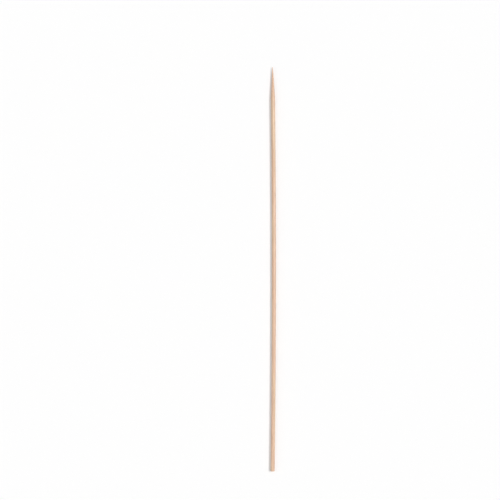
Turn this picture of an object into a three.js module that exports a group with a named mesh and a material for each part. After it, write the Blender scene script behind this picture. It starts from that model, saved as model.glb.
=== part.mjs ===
// A bamboo kebab skewer: one round stick, ground to a long point at one end and cut square at the other.
// Millimetres, +Z up. It lies along Y with its point towards +Y. Like most split-bamboo sticks it has
// dried to a slight bow, which lies flat and bulges towards +X. The origin is on the ground, under the
// middle of its bounding box.

import * as THREE from 'three';

// Driving dimensions
const length = 300; // from the butt's face to the tip of the nose
const diameter = 3;
const pointLength = 24; // the ground part, from the shoulder to the tip of the nose
const shoulderRun = 2; // the straight side runs on this far past the shoulder, which rounds the shoulder
const noseRadius = 0.2;
const buttEdgeRadius = 0.2; // the saw-cut edge, rubbed round by tumbling
const bow = 1; // how far the middle stands off a straight line between the two ends

// Fineness of the facets
const sides = 48;
const shaftStep = 30; // most that the shaft runs without a ring of vertices, so that it can bend
const pointSteps = 14;
const noseSteps = 4;
const edgeSteps = 3;

const radius = diameter / 2;
const shoulderY = length - pointLength;

// The butt: out from the axis along the sawn face, then round its edge.
function buttOutline() {
  const quarter = Math.PI / 2;
  const edge = new THREE.EllipseCurve(
    radius - buttEdgeRadius, buttEdgeRadius, buttEdgeRadius, buttEdgeRadius, -quarter, 0);
  return [new THREE.Vector2(0, 0), ...edge.getPoints(edgeSteps)];
}

// The shaft: rings along the straight side, from the butt's edge to the shoulder.
function shaftOutline() {
  const run = shoulderY - buttEdgeRadius;
  const steps = Math.ceil(run / shaftStep);
  const side = new THREE.LineCurve(
    new THREE.Vector2(radius, buttEdgeRadius), new THREE.Vector2(radius, shoulderY));
  return side.getPoints(steps);
}

// The point: leaves the shaft without a corner, straightens into a slim cone and ends in a small round
// nose. The cone's line is the tangent to the nose from where the two straight lines would meet.
function pointOutline() {
  const meet = new THREE.Vector2(radius, shoulderY + shoulderRun);
  const noseCentre = new THREE.Vector2(0, length - noseRadius);
  const reach = meet.clone().sub(noseCentre);
  const noseStart = reach.angle() + Math.acos(noseRadius / reach.length()) - 2 * Math.PI;
  const noseEnd = Math.PI / 2;
  const nose = new THREE.EllipseCurve(
    noseCentre.x, noseCentre.y, noseRadius, noseRadius, noseStart, noseEnd);
  const taper = new THREE.QuadraticBezierCurve(
    new THREE.Vector2(radius, shoulderY), meet, nose.getPoint(0));
  return [...taper.getPoints(pointSteps), ...nose.getPoints(noseSteps).slice(1)];
}

// Sideways offset of the stick's middle line, at a distance from the butt.
function bowAt(y) {
  const fromMiddle = 2 * y / length - 1;
  return bow * (1 - fromMiddle * fromMiddle);
}

// Turns the outline into the round stick. Each outline starts where the one before it ended.
function straightStick() {
  const outline = [...buttOutline(), ...shaftOutline().slice(1), ...pointOutline().slice(1)];
  const halfSide = Math.PI / sides; // so that a facet lies flat on the ground, and not an edge
  return new THREE.LatheGeometry(outline, sides, halfSide);
}

// Pushes each ring sideways by the bow there. The rings stay square to Y, so the butt's face stays flat.
function bend(geometry) {
  const position = geometry.getAttribute('position');
  for (let i = 0; i < position.count; i++) {
    position.setX(i, position.getX(i) + bowAt(position.getY(i)));
  }
  return geometry;
}

// Lays the stick on the ground, with the middle of its bounding box over the origin.
function seat(geometry) {
  geometry.computeBoundingBox();
  const { min, max } = geometry.boundingBox;
  return geometry.translate(-(min.x + max.x) / 2, -(min.y + max.y) / 2, -min.z);
}

const bamboo = new THREE.MeshStandardMaterial({ color: 0xdebba0, roughness: 0.55, metalness: 0 });

const skewer = new THREE.Mesh(seat(bend(straightStick())), bamboo);
skewer.name = 'skewer';

const group = new THREE.Group();
group.add(skewer);

export default group;
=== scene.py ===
"""Finishes one bamboo kebab skewer and lays it in a pale studio.

Lengths are in metres unless a name says mm.
"""

import math
import random

import bmesh
import bpy
from bpy.props import FloatProperty, FloatVectorProperty, IntProperty, PointerProperty
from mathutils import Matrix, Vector, noise
from mathutils.geometry import interpolate_bezier


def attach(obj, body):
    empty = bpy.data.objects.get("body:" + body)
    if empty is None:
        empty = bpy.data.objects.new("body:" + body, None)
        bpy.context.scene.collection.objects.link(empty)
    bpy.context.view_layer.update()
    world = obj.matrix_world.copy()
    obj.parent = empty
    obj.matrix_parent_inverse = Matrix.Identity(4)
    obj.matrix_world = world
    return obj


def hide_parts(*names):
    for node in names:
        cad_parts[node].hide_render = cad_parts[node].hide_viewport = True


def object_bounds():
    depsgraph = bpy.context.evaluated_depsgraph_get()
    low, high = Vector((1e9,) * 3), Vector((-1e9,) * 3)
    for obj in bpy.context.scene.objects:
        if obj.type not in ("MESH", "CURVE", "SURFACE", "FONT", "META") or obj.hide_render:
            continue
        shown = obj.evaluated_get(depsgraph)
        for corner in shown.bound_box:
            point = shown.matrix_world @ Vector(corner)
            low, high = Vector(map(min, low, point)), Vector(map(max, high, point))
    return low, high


bl_info = {
    "name": "Kebab Skewer",
    "version": (1, 0, 0),
    "blender": (4, 5, 0),
    "location": "3D View > Sidebar > Skewer",
    "description": "Makes one bamboo kebab skewer and the pale studio that it lies in",
    "category": "Add Mesh",
}

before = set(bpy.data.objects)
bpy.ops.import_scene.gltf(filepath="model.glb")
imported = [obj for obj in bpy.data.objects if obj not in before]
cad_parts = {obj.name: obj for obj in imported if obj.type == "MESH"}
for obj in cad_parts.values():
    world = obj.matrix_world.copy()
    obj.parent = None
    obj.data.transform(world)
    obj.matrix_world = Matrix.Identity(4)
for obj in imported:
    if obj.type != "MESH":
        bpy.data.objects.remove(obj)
cad_low, cad_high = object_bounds()

MM = 0.001
FULL_TURN = 2 * math.pi
MERGE_DISTANCE = 0.0003 * MM  # less than the smallest face is wide
BAKE_MAP = "OFBake"  # the stick's own UV map, laid out for baking its patterns
WHITE = (1, 1, 1, 1)


class StickSizes(bpy.types.PropertyGroup):
    """The stick's own sizes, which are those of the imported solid."""

    length: FloatProperty(
        name="Length", description="From the butt's face to the tip of the point",
        default=cad_high.y - cad_low.y, unit="LENGTH", precision=4)
    diameter: FloatProperty(
        name="Diameter", description="Across the shaft", default=3 * MM, unit="LENGTH", precision=5)
    point_length: FloatProperty(
        name="Point length", description="The ground part, from the shoulder to the tip",
        default=24 * MM, unit="LENGTH", precision=4)
    shoulder_run: FloatProperty(
        name="Shoulder run", description="How far past the shoulder the shaft's straight side would run on",
        default=2 * MM, unit="LENGTH", precision=5)
    nose_radius: FloatProperty(
        name="Nose radius", description="Radius of the tip", default=0.2 * MM, unit="LENGTH", precision=5)
    butt_edge_radius: FloatProperty(
        name="Butt edge radius", description="Rounding of the sawn end's edge",
        default=0.2 * MM, unit="LENGTH", precision=5)
    bow: FloatProperty(
        name="Bow", description="How far the middle stands off a straight line between the ends",
        default=1 * MM, unit="LENGTH", precision=5)


class MeshSteps(bpy.types.PropertyGroup):
    """How finely the stick's surface is divided."""

    around: IntProperty(name="Around", description="Faces round the stick", default=160, min=12)
    shaft: IntProperty(name="Shaft", description="Rings along the shaft", default=392, min=2)
    point: IntProperty(name="Point", description="Rings along the ground point", default=120, min=2)
    nose: IntProperty(name="Nose", description="Rings round the tip", default=6, min=2)
    edge: IntProperty(name="Butt edge", description="Rings round the butt's edge", default=6, min=2)
    face: IntProperty(name="Butt face", description="Rings across the butt's face", default=16, min=2)


class BambooRelief(bpy.types.PropertyGroup):
    """The small shapes that the bamboo and its tools leave on the surface."""

    out_of_round: FloatProperty(
        name="Out of round", description="How far the section strays from a true circle",
        default=0.014 * MM, unit="LENGTH", precision=6)
    ribs: FloatProperty(
        name="Ribs", description="Height of the fibre ribs along the stick",
        default=0.009 * MM, unit="LENGTH", precision=6)
    grinding: FloatProperty(
        name="Grinding", description="Depth of the rings that grinding left on the point",
        default=0.011 * MM, unit="LENGTH", precision=6)
    sawing: FloatProperty(
        name="Sawing", description="Depth of the saw's marks on the butt",
        default=0.035 * MM, unit="LENGTH", precision=6)
    chips: FloatProperty(
        name="Chips", description="Depth of the nicks in the butt's edge",
        default=0.22 * MM, unit="LENGTH", precision=6)
    torn_count: IntProperty(
        name="Torn fibres", description="Fibres that tore out of the surface", default=36, min=0)
    torn_depth: FloatProperty(
        name="Torn depth", description="Depth of the deepest torn groove",
        default=0.055 * MM, unit="LENGTH", precision=6)
    raised_count: IntProperty(
        name="Raised fibres", description="Fibres that stand proud of the surface", default=26, min=0)
    raised_height: FloatProperty(
        name="Raised height", description="Height of the proudest fibre",
        default=0.025 * MM, unit="LENGTH", precision=6)
    seed: IntProperty(name="Seed", description="Picks where the loose fibres lie", default=11, min=0)


class BambooColours(bpy.types.PropertyGroup):
    """The colours of dry bamboo, as linear red, green and blue."""

    pith: FloatVectorProperty(
        name="Pith side", description="Tissue from the inner side of the culm's wall",
        subtype="COLOR", default=(0.825, 0.58, 0.435), min=0, max=1)
    straw: FloatVectorProperty(
        name="Straw", description="Yellower stretches of the same tissue",
        subtype="COLOR", default=(0.80, 0.61, 0.405), min=0, max=1)
    bark: FloatVectorProperty(
        name="Bark side", description="Tissue from near the culm's skin",
        subtype="COLOR", default=(0.75, 0.487, 0.333), min=0, max=1)
    fibre: FloatVectorProperty(
        name="Fibre", description="The bundles of fibre that run along the stick",
        subtype="COLOR", default=(0.48, 0.275, 0.155), min=0, max=1)
    # The vessel colour also paints the shade in the torn grooves
    vessel: FloatVectorProperty(
        name="Vessel", description="Open vessels, flecks and torn grooves",
        subtype="COLOR", default=(0.2, 0.095, 0.045), min=0, max=1)
    gloss: FloatProperty(
        name="Gloss", description="Strength of the satin shine", default=0.5, min=0, max=1)


class StudioSettings(bpy.types.PropertyGroup):
    """The floor, the lamps and the camera."""

    picture_width: FloatProperty(
        name="Picture width", description="Width of floor that the picture takes in, at the stick",
        default=371 * MM, unit="LENGTH", precision=4)
    aim: FloatVectorProperty(
        name="Aim", description="What the camera looks straight down on",
        size=2, default=(-17.25 * MM, 14.2 * MM), unit="LENGTH", precision=4)
    lens: FloatProperty(name="Lens", description="Focal length", default=100, unit="CAMERA")
    floor_radius: FloatProperty(
        name="Floor radius", description="Radius of the round floor", default=6, unit="LENGTH")
    floor_white: FloatProperty(
        name="Floor white", description="How white the floor is", default=0.88, min=0, max=1)
    floor_glow: FloatProperty(
        name="Floor glow", description="What is added to the floor's brightness as the camera sees it",
        default=0.11, min=0, max=1)
    sky: FloatProperty(
        name="Room light", description="Light that comes evenly from all round", default=0.4, min=0)
    key: FloatProperty(
        name="Key light", description="Strength of the main soft lamp", default=1.85, min=0)
    fill: FloatProperty(
        name="Fill light", description="Strength of the lamp on the other side", default=0.55, min=0)


def arc(centre, radius, start, end, steps):
    """Points along a round stretch of the outline, after its first one."""
    turns = [start + (end - start) * (i + 1) / steps for i in range(steps)]
    return [centre + radius * Vector((math.cos(a), math.sin(a), 0)) for a in turns]


def straight(start, end, steps):
    """Points along a straight stretch of the outline, after its first one."""
    return [start.lerp(end, (i + 1) / steps) for i in range(steps)]


def stick_outline(size, steps):
    """One side of the straight stick, as X, the distance from its middle line, and Y, that from its butt."""
    radius = size.diameter / 2
    edge = size.butt_edge_radius
    axis_at_butt = Vector((0, 0, 0))
    face_rim = Vector((radius - edge, 0, 0))
    edge_centre = Vector((radius - edge, edge, 0))
    shaft_start = Vector((radius, edge, 0))
    shoulder = Vector((radius, size.length - size.point_length, 0))

    # The cone's side is the tangent to the nose from where the shaft's side would meet it.
    meeting = shoulder + Vector((0, size.shoulder_run, 0))
    nose_centre = Vector((0, size.length - size.nose_radius, 0))
    reach = meeting - nose_centre
    nose_start = math.atan2(reach.y, reach.x) + math.acos(size.nose_radius / reach.length)
    cone_end = nose_centre + size.nose_radius * Vector((math.cos(nose_start), math.sin(nose_start), 0))
    side = interpolate_bezier(
        shoulder, shoulder.lerp(meeting, 2 / 3), cone_end.lerp(meeting, 2 / 3), cone_end, steps.point + 1)

    points = [axis_at_butt]
    points += straight(axis_at_butt, face_rim, steps.face)
    points += arc(edge_centre, edge, -math.pi / 2, 0, steps.edge)
    points += straight(shaft_start, shoulder, steps.shaft)
    points += side[1:]
    points += arc(nose_centre, size.nose_radius, nose_start, math.pi / 2, steps.nose)
    points[-1].x = 0
    return points


def turn_stick(bm, size, steps):
    """Turns the outline round its middle line into a straight, closed stick."""
    corners = [bm.verts.new(point) for point in stick_outline(size, steps)]
    outline = [bm.edges.new(pair) for pair in zip(corners, corners[1:])]
    bmesh.ops.spin(
        bm, geom=corners + outline, cent=(0, 0, 0), axis=(0, 1, 0), angle=FULL_TURN,
        steps=steps.around, use_merge=True)
    bmesh.ops.remove_doubles(bm, verts=bm.verts, dist=MERGE_DISTANCE)
    bmesh.ops.recalc_face_normals(bm, faces=bm.faces)


def in_culm(place):
    """Where a place on the straight stick lay in the bamboo's wall.

    X is across the fibres, Y along them and Z towards the skin. The stick was split a little across the
    fibres, so they leave its surface at a slight slant.
    """
    turned = math.radians(35)  # how far round the stick lies from the culm's own directions
    across = place.x * math.cos(turned) - place.z * math.sin(turned)
    outward = place.x * math.sin(turned) + place.z * math.cos(turned)
    slant_across, slant_outward = 0.006, 0.004
    return Vector((across + slant_across * place.y, place.y, outward + slant_outward * place.y))


def angle_round(place):
    """Angle round the middle line, from 0 at the underside."""
    return math.atan2(place.x, -place.z) % FULL_TURN


def loose_fibres(size, count, most, dice):
    """Start, run, angle, half width and depth or height of each fibre that tore out or stands proud."""
    shortest_mm, longest_mm = 5, 34
    thinnest_mm, thickest_mm = 0.06, 0.14
    least_share = 0.3
    past_butt_share = 0.3  # so that some of them run out over the butt's edge
    fibres = []
    for _ in range(count):
        run = dice.uniform(shortest_mm, longest_mm) * MM
        start = dice.uniform(-past_butt_share * run, size.length - size.point_length / 2 - run)
        angle = dice.uniform(0, FULL_TURN)
        half_width = dice.uniform(thinnest_mm, thickest_mm) * MM
        fibres.append((start, run, angle, half_width, dice.uniform(least_share, 1) * most))
    return fibres


def fibre_at(place, angle, distance_out, fibres):
    """How deep or high the fibres are at a place, the most of those that pass there."""
    most = 0
    for start, run, middle, half_width, amount in fibres:
        along = (place.y - start) / run
        if 0 < along < 1:
            away = (angle - middle + math.pi) % FULL_TURN - math.pi
            across = away * distance_out / half_width
            if abs(across) < 1:
                most = max(most, amount * math.sqrt(math.sin(math.pi * along)) * (1 - across * across))
    return most


def drift(y_mm, run_mm, row):
    """A number that changes slowly along the stick, over runs of about this length. Each row has its own."""
    return noise.noise((row, y_mm / run_mm, 0))


def fibre_ribs(grain_mm, per_mm, run_mm, row=0):
    """Ridges along the fibres: how many there are across a millimetre, and how far each runs."""
    return noise.noise((grain_mm.x * per_mm, grain_mm.y / run_mm, grain_mm.z * per_mm + row))


def side_relief(place, angle, size, relief):
    """How far the stick's side stands out from a true round."""
    y_mm = place.y / MM
    oval = math.cos(2 * angle + 2 * drift(y_mm, run_mm=90, row=0))
    three_sided = math.cos(3 * angle + 3 * drift(y_mm, run_mm=70, row=5))
    thickness = drift(y_mm, run_mm=45, row=9)
    height = relief.out_of_round * (0.5 * oval + 0.3 * three_sided + 0.5 * thickness)

    grain_mm = in_culm(place) / MM
    wide_ribs = fibre_ribs(grain_mm, per_mm=2.6, run_mm=55)
    fine_ribs = fibre_ribs(grain_mm, per_mm=6.5, run_mm=40, row=20)
    height += relief.ribs * (0.7 * wide_ribs + 0.5 * fine_ribs)

    past_shoulder = place.y - (size.length - size.point_length)
    if past_shoulder > 0:
        coarse_rings = noise.noise((angle / 3, y_mm * 2.3, 3))
        fine_rings = noise.noise((angle / 2, y_mm * 5.1, 8))
        spared_fibres = fibre_ribs(grain_mm, per_mm=5, run_mm=6, row=40)
        grinder_touches_down = 2 * MM
        ground = min(1, past_shoulder / grinder_touches_down)
        height += relief.grinding * (coarse_rings + 0.6 * fine_rings + 1.2 * spared_fibres) * ground
    return height


def chip_depth(place, angle, edge, relief):
    """How deep the nicks in the butt's edge are. They fade out a few times the edge's radius up the side."""
    reach = 4 * edge
    nick = noise.noise((2.6 * math.cos(angle), 2.6 * math.sin(angle), place.y / reach))
    return relief.chips * max(0, nick - 0.1) * max(0, 1 - place.y / reach)


def butt_relief(place, relief):
    """How far the sawn face is sunk: the saw's lines, and the softer tissue between the fibres."""
    x_mm = place.x / MM
    z_mm = place.z / MM
    lines = noise.noise((0.4 * x_mm, 0, 4.5 * z_mm + 0.7 * x_mm))
    tissue = noise.noise((3.5 * x_mm, 1, 3.5 * z_mm)) + noise.noise((6 * x_mm, 5, 6 * z_mm))
    slope = 0.4 * z_mm
    return relief.sawing * (1.2 + lines + 0.7 * tissue + slope)


def shape_surface(bm, size, relief):
    """Works the relief into the straight stick.

    It notes on each vertex where it lay in the bamboo, as grain, and how deep a fibre tore out, as torn.
    """
    grain_layer = bm.verts.layers.float_vector.new("grain")
    torn_layer = bm.verts.layers.float.new("torn")
    dice = random.Random(relief.seed)
    torn_fibres = loose_fibres(size, relief.torn_count, relief.torn_depth, dice)
    raised_fibres = loose_fibres(size, relief.raised_count, relief.raised_height, dice)
    edge = size.butt_edge_radius
    for vertex in bm.verts:
        place = vertex.co.copy()
        vertex[grain_layer] = in_culm(place)
        out = Vector((place.x, 0, place.z))
        on_side = min(1, place.y / edge)
        if out.length > MERGE_DISTANCE and on_side > 0:
            angle = angle_round(place)
            torn = fibre_at(place, angle, out.length, torn_fibres)
            raised = fibre_at(place, angle, out.length, raised_fibres)
            vertex[torn_layer] = torn / relief.torn_depth
            height = side_relief(place, angle, size, relief) + raised - torn
            off_tip = min(1, out.length / size.nose_radius)
            chip = chip_depth(place, angle, edge, relief)
            vertex.co += out.normalized() * (height * off_tip - chip) * on_side
        if on_side < 1:
            vertex.co.y += butt_relief(place, relief) * (1 - on_side)


def lay_out_bake_map(bm, size):
    """Unrolls the straight stick in three strips, one above the other, with the butt's face over them."""
    uv_layer = bm.loops.layers.uv.new(BAKE_MAP)
    strips = 3
    strip_length = size.length / strips
    strip_height, strip_pitch, margin = 0.288, 0.296, 0.01
    butt_middle = Vector((0.06, 0.945))
    butt_scale = 0.1 / size.diameter
    faces_back = -0.7  # a face of the butt has a normal that leans further than this towards -Y
    for face in bm.faces:
        middle = face.calc_center_median()
        if face.normal.y < faces_back:
            for loop in face.loops:
                loop[uv_layer].uv = butt_middle + butt_scale * Vector((loop.vert.co.x, loop.vert.co.z))
            continue
        strip = min(strips - 1, int(middle.y / strip_length))
        middle_angle = angle_round(middle)
        for loop in face.loops:
            place = loop.vert.co
            on_axis = math.hypot(place.x, place.z) < MERGE_DISTANCE
            angle = middle_angle if on_axis else angle_round(place)
            if angle - middle_angle > math.pi:
                angle -= FULL_TURN
            if middle_angle - angle > math.pi:
                angle += FULL_TURN
            along = place.y / strip_length - strip
            loop[uv_layer].uv = (
                margin + (1 - 2 * margin) * along,
                margin / 2 + strip_pitch * strip + strip_height * angle / FULL_TURN)


def bend_and_lay(bm, size):
    """Bends the straight stick sideways to its bow and lays it on the ground, in the solid's box."""
    for vertex in bm.verts:
        from_middle = 2 * vertex.co.y / size.length - 1
        vertex.co.x += size.bow * (1 - from_middle * from_middle)
    lowest = min(vertex.co.z for vertex in bm.verts)
    middle = (cad_low + cad_high) / 2
    bmesh.ops.translate(
        bm, verts=bm.verts,
        vec=(middle.x - size.bow / 2, middle.y - size.length / 2, cad_low.z - lowest))


class Tree:
    """Adds nodes to a material or world. An input is given a value, or another node's output to link."""

    def __init__(self, owner):
        owner.use_nodes = True
        self.nodes = owner.node_tree.nodes
        self.links = owner.node_tree.links
        self.nodes.clear()

    def add(self, kind, inputs=None, **settings):
        """A new node with these settings and inputs. An input is named, or given by its number."""
        spacing = 200
        node = self.nodes.new(kind)
        node.location = (spacing * len(self.nodes), 0)
        for name, value in settings.items():
            setattr(node, name, value)
        for name, value in (inputs or {}).items():
            if isinstance(value, bpy.types.NodeSocket):
                self.links.new(value, node.inputs[name])
            else:
                node.inputs[name].default_value = value
        return node

    def math(self, operation, first, second=0.0, third=0.0):
        """One step of arithmetic on numbers."""
        inputs = {0: first, 1: second, 2: third}
        return self.add("ShaderNodeMath", inputs, operation=operation).outputs[0]

    def times(self, first, second):
        """The product of two numbers."""
        return self.math("MULTIPLY", first, second)

    def scaled(self, value, factor, plus):
        """The number times a factor, plus another."""
        return self.math("MULTIPLY_ADD", value, factor, plus)

    def ramp(self, value, low, high, at_low=0.0, at_high=1.0):
        """A smooth step from at_low to at_high as the value goes from low to high."""
        inputs = {"Value": value, "From Min": low, "From Max": high, "To Min": at_low, "To Max": at_high}
        return self.add("ShaderNodeMapRange", inputs, interpolation_type="SMOOTHSTEP").outputs[0]

    def vector_math(self, operation, first, second):
        """One step of arithmetic on vectors, with a vector as its result."""
        return self.add("ShaderNodeVectorMath", {0: first, 1: second}, operation=operation).outputs[0]

    def stretched(self, vector, scale):
        """The vector with each of its parts multiplied."""
        return self.vector_math("MULTIPLY", vector, scale)

    def length(self, vector):
        """How long a vector is."""
        return self.add("ShaderNodeVectorMath", {0: vector}, operation="LENGTH").outputs["Value"]

    def noise(self, vector, detail=2.0, roughness=0.5):
        """Soft random values from 0 to 1, about one wave for each unit of the vector."""
        inputs = {"Vector": vector, "Scale": 1.0, "Detail": detail, "Roughness": roughness}
        return self.add("ShaderNodeTexNoise", inputs).outputs[0]

    def streaks(self, grain_mm, across, along, detail=2.0, roughness=0.5):
        """Noise with so many waves to a millimetre across the fibres, and so many along them."""
        return self.noise(self.stretched(grain_mm, (across, along, across)), detail, roughness)

    def mix(self, amount, first, second, blend="MIX"):
        """Mixes two colours, which this node takes and gives beside its unused numbers and vectors."""
        amount_input, first_input, second_input, result = 0, 6, 7, 2
        inputs = {amount_input: amount, first_input: first, second_input: second}
        return self.add("ShaderNodeMix", inputs, data_type="RGBA", blend_type=blend).outputs[result]


def opaque(colour):
    """The colour with the full alpha that a shader's socket takes."""
    return (*colour, 1)


def fibre_bundles(tree, grain_mm, across, along, outward):
    """How far each place is inside a bundle of fibres, and inside the open vessel that many bundles have.

    Bundles run the whole length, wander a little, and crowd together towards the culm's skin.
    """
    bundles_per_mm = 2.3
    crowding = 0.2
    wanders_per_mm = 0.02
    crowded = tree.times(outward, tree.scaled(outward, crowding, 1.0))
    flat_place = tree.add("ShaderNodeCombineXYZ", {0: across, 1: crowded}).outputs[0]
    wander_noise = tree.add(
        "ShaderNodeTexNoise", {"W": along, "Scale": wanders_per_mm, "Detail": 1.0}, noise_dimensions="1D")
    wander = tree.stretched(wander_noise.outputs["Color"], (1, 1, 0))
    wandered = tree.vector_math("ADD", flat_place, wander)
    place = tree.stretched(wandered, (bundles_per_mm, bundles_per_mm, 0))
    cells = tree.add(
        "ShaderNodeTexVoronoi", {"Vector": place, "Scale": 1.0, "Randomness": 0.8},
        voronoi_dimensions="2D", feature="F1").outputs
    from_middle = tree.vector_math("SUBTRACT", place, cells["Position"])
    chance = tree.add("ShaderNodeSeparateColor", {0: cells["Color"]}).outputs

    # Bundles are a little oval, with a ragged edge, and some are darker than others.
    oval = (1.25, 0.85, 0)
    core, rim = 0.13, 0.34
    ragged = tree.scaled(tree.streaks(grain_mm, 7, 0.05), 0.16, -0.08)
    distance = tree.math("ADD", tree.length(tree.stretched(from_middle, oval)), ragged)
    darkness = tree.scaled(chance[0], 0.6, 0.4)
    bundle = tree.times(tree.ramp(distance, core, rim, at_low=1, at_high=0), darkness)

    # The vessel lies a little off the bundle's middle, and some bundles have none that shows.
    vessel_middle = (0.05, -0.07, 0)
    hollow, wall = 0.04, 0.12
    from_vessel = tree.add(
        "ShaderNodeVectorMath", {0: from_middle, 1: vessel_middle}, operation="DISTANCE").outputs["Value"]
    openness = tree.ramp(chance[1], 0.3, 0.8)
    vessel = tree.times(tree.ramp(from_vessel, hollow, wall, at_low=1, at_high=0), openness)
    return bundle, vessel


def worked_ends(tree, along, size):
    """How far each place is on the ground point, and how far on the sawn butt."""
    shoulder_mm = (size.length - size.point_length) / MM
    edge_mm = size.butt_edge_radius / MM
    before_mm, after_mm = 0.5, 2.5  # the change starts and ends this far before and after the shoulder
    ground = tree.ramp(along, shoulder_mm - before_mm, shoulder_mm + after_mm)
    sawn = tree.ramp(along, 0.2 * edge_mm, edge_mm, at_low=1, at_high=0)
    return ground, sawn


def tissue_colour(tree, grain_mm, outward, colours):
    """The soft tissue between the bundles: paler on the pith side, and yellower in some stretches."""
    pith_mm, bark_mm = -1.3, 2.0
    unevenness = 1.6
    most_yellow = 0.5
    slow_change = tree.streaks(grain_mm, 0.45, 0.028, detail=3)
    skin_side = tree.ramp(outward, pith_mm, bark_mm)
    tone = tree.scaled(tree.math("SUBTRACT", slow_change, 0.5), unevenness, skin_side)
    tissue = tree.mix(tree.math("MAXIMUM", tone, 0.0), opaque(colours.pith), opaque(colours.bark))
    elsewhere = tree.vector_math("ADD", tree.stretched(grain_mm, (0.3, 0.021, 0.3)), (7, 7, 7))
    yellower = tree.ramp(tree.noise(elsewhere), 0.45, 0.7, at_high=most_yellow)
    return tree.mix(yellower, tissue, opaque(colours.straw))


def shaded(tree, colour, grain_mm, threads, ground, sawn):
    """The colour made lighter and darker by single fibres, by soft clouds, and where it was cut."""
    thread_tone = tree.ramp(threads, 0.32, 0.68, at_low=0.84, at_high=1.11)
    cloud_tone = tree.ramp(tree.streaks(grain_mm, 1.1, 0.16), 0.3, 0.7, at_low=0.965, at_high=1.03)
    darker_sawn, paler_ground = -0.08, 0.03
    cut_tone = tree.scaled(sawn, darker_sawn, tree.scaled(ground, paler_ground, 1.0))
    brightness = tree.times(tree.times(thread_tone, cloud_tone), cut_tone)
    grey = tree.add("ShaderNodeCombineColor", {0: brightness, 1: brightness, 2: brightness}).outputs[0]
    return tree.mix(1.0, colour, grey, blend="MULTIPLY")


def grinding_and_sawing(tree, grain_mm, ground, sawn):
    """Height of the rings that the grinder left round the point and the saw's scratches across the butt."""
    ring_height, scratch_height = 0.5, 1.4
    scratches_per_mm = (1.1, 1, 13)
    rings = tree.times(tree.streaks(grain_mm, 0.9, 11), tree.times(ground, ring_height))
    scratch_noise = tree.noise(tree.stretched(grain_mm, scratches_per_mm), detail=3, roughness=0.7)
    scratches = tree.times(scratch_noise, tree.times(sawn, scratch_height))
    return tree.math("ADD", rings, scratches)


def bamboo_material(colours, size):
    """Dry bamboo, drawn through its whole thickness, so each surface shows its own cut of the fibres."""
    material = bpy.data.materials.new("bamboo")
    tree = Tree(material)
    grain = tree.add("ShaderNodeAttribute", attribute_name="grain").outputs["Vector"]
    torn = tree.add("ShaderNodeAttribute", attribute_name="torn").outputs["Fac"]
    grain_mm = tree.stretched(grain, (1 / MM, 1 / MM, 1 / MM))
    across, along, outward = tree.add("ShaderNodeSeparateXYZ", {0: grain_mm}).outputs

    bundle, vessel = fibre_bundles(tree, grain_mm, across, along, outward)
    threads = tree.streaks(grain_mm, 13, 0.07, detail=4, roughness=0.62)
    fleck = tree.ramp(tree.streaks(grain_mm, 5.5, 0.13, detail=1), 0.66, 0.76)
    ground, sawn = worked_ends(tree, along, size)

    # Bundles and vessels show more strongly where they were cut across, most of all on the butt.
    cut_by_grinding = 0.35
    opened = tree.math("MAXIMUM", sawn, tree.times(ground, cut_by_grinding))
    bundle_share = tree.times(bundle, tree.scaled(opened, 0.08, 0.72))
    vessel_share = tree.times(vessel, tree.scaled(opened, 0.35, 0.45))
    colour = tissue_colour(tree, grain_mm, outward, colours)
    colour = tree.mix(bundle_share, colour, opaque(colours.fibre))
    colour = tree.mix(vessel_share, colour, opaque(colours.vessel))
    fleck_share = tree.times(fleck, 0.42)
    # Painted shade in the torn grooves: the vessel colour laid in more strongly the deeper the groove
    groove_shade_share = tree.times(torn, 0.55)
    colour = tree.mix(fleck_share, colour, opaque(colours.vessel))
    colour = tree.mix(groove_shade_share, colour, opaque(colours.vessel))
    colour = shaded(tree, colour, grain_mm, threads, ground, sawn)

    # Satin where the stick was drawn and tumbled, duller where it was ground or sawn.
    duller = tree.scaled(ground, 0.1, tree.times(sawn, 0.22))
    satin = tree.ramp(threads, 0.3, 0.7, at_low=0.44, at_high=0.32)
    roughness = tree.math("ADD", satin, duller)

    # Threads and bundles stand up a little, and vessels are open.
    height = tree.scaled(threads, 0.6, grinding_and_sawing(tree, grain_mm, ground, sawn))
    height = tree.scaled(bundle, 0.25, height)
    height = tree.scaled(vessel_share, -0.9, height)
    bump = tree.add("ShaderNodeBump", {"Strength": 0.55, "Distance": 0.03 * MM, "Height": height})

    surface = tree.add("ShaderNodeBsdfPrincipled", {
        "Base Color": colour, "Roughness": roughness, "Normal": bump.outputs[0],
        "Specular IOR Level": colours.gloss})
    tree.add("ShaderNodeOutputMaterial", {"Surface": surface.outputs[0]})
    return material


class SKEWER_OT_make_stick(bpy.types.Operator):
    """Make the bamboo stick with its fibres, its ground point and its sawn butt"""

    bl_idname = "skewer.make_stick"
    bl_label = "Make Stick"

    def execute(self, context):
        scene = context.scene
        size = scene.skewer_sizes
        bm = bmesh.new()
        turn_stick(bm, size, scene.skewer_steps)
        lay_out_bake_map(bm, size)
        shape_surface(bm, size, scene.skewer_relief)
        bend_and_lay(bm, size)
        for face in bm.faces:
            face.smooth = True
        mesh = bpy.data.meshes.new("bamboo_stick")
        bm.to_mesh(mesh)
        bm.free()
        stick = bpy.data.objects.new("bamboo_stick", mesh)
        scene.collection.objects.link(stick)
        mesh.materials.append(bamboo_material(scene.skewer_colours, size))
        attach(stick, "root")
        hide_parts("skewer")
        return {"FINISHED"}


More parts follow.
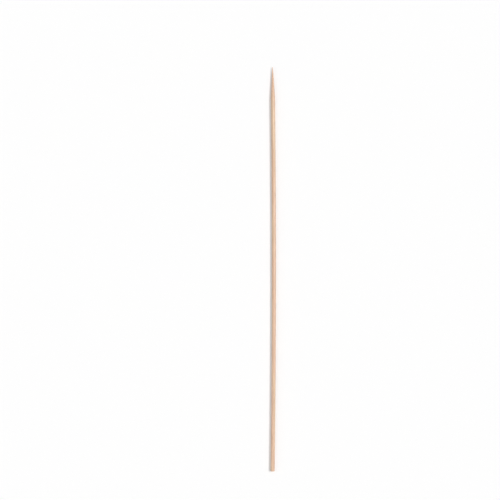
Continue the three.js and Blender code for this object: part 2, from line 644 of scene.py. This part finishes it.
def floor_material(studio):
    """A white floor that takes the stick's shadow near it, and fades into the white of the room far off."""
    material = bpy.data.materials.new("floor_white")
    tree = Tree(material)
    fade_start, fade_end = 0.35, 1.6
    place = tree.add("ShaderNodeTexCoord").outputs["Object"]
    far = tree.ramp(tree.length(place), fade_start, fade_end)
    seen = tree.add("ShaderNodeLightPath").outputs["Is Camera Ray"]
    white = (studio.floor_white,) * 3
    paint = tree.add("ShaderNodeBsdfDiffuse", {"Color": opaque(white)})
    glow_strength = tree.times(seen, studio.floor_glow)
    glow = tree.add("ShaderNodeEmission", {"Color": WHITE, "Strength": glow_strength})
    near_floor = tree.add("ShaderNodeAddShader", {0: paint.outputs[0], 1: glow.outputs[0]})
    room_white = tree.add("ShaderNodeEmission", {"Color": WHITE, "Strength": 1.0})
    share = tree.times(far, seen)
    both = tree.add("ShaderNodeMixShader", {0: share, 1: near_floor.outputs[0], 2: room_white.outputs[0]})
    tree.add("ShaderNodeOutputMaterial", {"Surface": both.outputs[0]})
    return material


def make_floor(scene, studio):
    """A large round floor, level with the ground that the stick lies on."""
    bm = bmesh.new()
    bmesh.ops.create_circle(bm, cap_ends=True, segments=96, radius=studio.floor_radius)
    mesh = bpy.data.meshes.new("floor")
    bm.to_mesh(mesh)
    bm.free()
    floor = bpy.data.objects.new("floor", mesh)
    scene.collection.objects.link(floor)
    mesh.materials.append(floor_material(studio))


def light_room(scene, studio):
    """Even light from all round, in a room that looks plain white."""
    world = bpy.data.worlds.new("white_room")
    scene.world = world
    tree = Tree(world)
    path = tree.add("ShaderNodeLightPath").outputs
    seen = tree.math("MAXIMUM", path["Is Camera Ray"], path["Is Glossy Ray"])
    seen = tree.math("MAXIMUM", seen, path["Is Transmission Ray"])
    strength = tree.ramp(seen, 0, 1, studio.sky, 1.0)
    background = tree.add("ShaderNodeBackground", {"Color": WHITE, "Strength": strength})
    tree.add("ShaderNodeOutputWorld", {"Surface": background.outputs[0]})


def add_lamp(scene, name, strength, spread, tilt):
    """A soft, distant lamp. Tilt is how far it leans from straight above, towards +X and +Y, in degrees."""
    lamp = bpy.data.lights.new(name, "SUN")
    lamp.energy = strength
    lamp.angle = math.radians(spread)
    place = bpy.data.objects.new(name, lamp)
    towards = Vector((math.tan(math.radians(tilt[0])), math.tan(math.radians(tilt[1])), 1))
    place.rotation_euler = towards.to_track_quat("Z", "Y").to_euler()
    scene.collection.objects.link(place)


def add_camera(scene, studio):
    """Looks straight down on the stick, with the point at the top of the picture."""
    data = bpy.data.cameras.new("camera")
    data.lens = studio.lens
    half_width = data.sensor_width / 2 / data.lens
    camera = bpy.data.objects.new("camera", data)
    middle_height = (cad_low.z + cad_high.z) / 2
    camera.location = (*studio.aim, middle_height + studio.picture_width / 2 / half_width)
    data.clip_start = 0.01
    data.clip_end = 4 * studio.floor_radius
    scene.collection.objects.link(camera)
    scene.camera = camera


class SKEWER_OT_set_stage(bpy.types.Operator):
    """Set the white floor, the soft lamps and the camera"""

    bl_idname = "skewer.set_stage"
    bl_label = "Set Stage"

    def execute(self, context):
        scene = context.scene
        studio = scene.skewer_studio
        make_floor(scene, studio)
        light_room(scene, studio)
        add_lamp(scene, "key_lamp", studio.key, spread=16, tilt=(34, 8))
        add_lamp(scene, "fill_lamp", studio.fill, spread=60, tilt=(-45, -25))
        add_camera(scene, studio)
        scene.view_settings.view_transform = "Standard"
        return {"FINISHED"}


GROUPS = {
    "skewer_sizes": StickSizes,
    "skewer_steps": MeshSteps,
    "skewer_relief": BambooRelief,
    "skewer_colours": BambooColours,
    "skewer_studio": StudioSettings,
}


class SKEWER_PT_panel(bpy.types.Panel):
    """Lists the skewer's sizes and finishes, and the buttons that make it"""

    bl_idname = "SKEWER_PT_panel"
    bl_label = "Kebab Skewer"
    bl_space_type = "VIEW_3D"
    bl_region_type = "UI"
    bl_category = "Skewer"

    def draw(self, context):
        for group_name in GROUPS:
            group = getattr(context.scene, group_name)
            box = self.layout.box()
            for setting in group.__annotations__:
                box.prop(group, setting)
        self.layout.operator(SKEWER_OT_make_stick.bl_idname)
        self.layout.operator(SKEWER_OT_set_stage.bl_idname)


CLASSES = (*GROUPS.values(), SKEWER_OT_make_stick, SKEWER_OT_set_stage, SKEWER_PT_panel)


def register():
    for cls in CLASSES:
        bpy.utils.register_class(cls)
    for name, group in GROUPS.items():
        setattr(bpy.types.Scene, name, PointerProperty(type=group))


def unregister():
    for name in GROUPS:
        delattr(bpy.types.Scene, name)
    for cls in reversed(CLASSES):
        bpy.utils.unregister_class(cls)


def main():
    register()
    bpy.ops.skewer.make_stick()
    bpy.ops.skewer.set_stage()


if __name__ == "__main__":
    main()
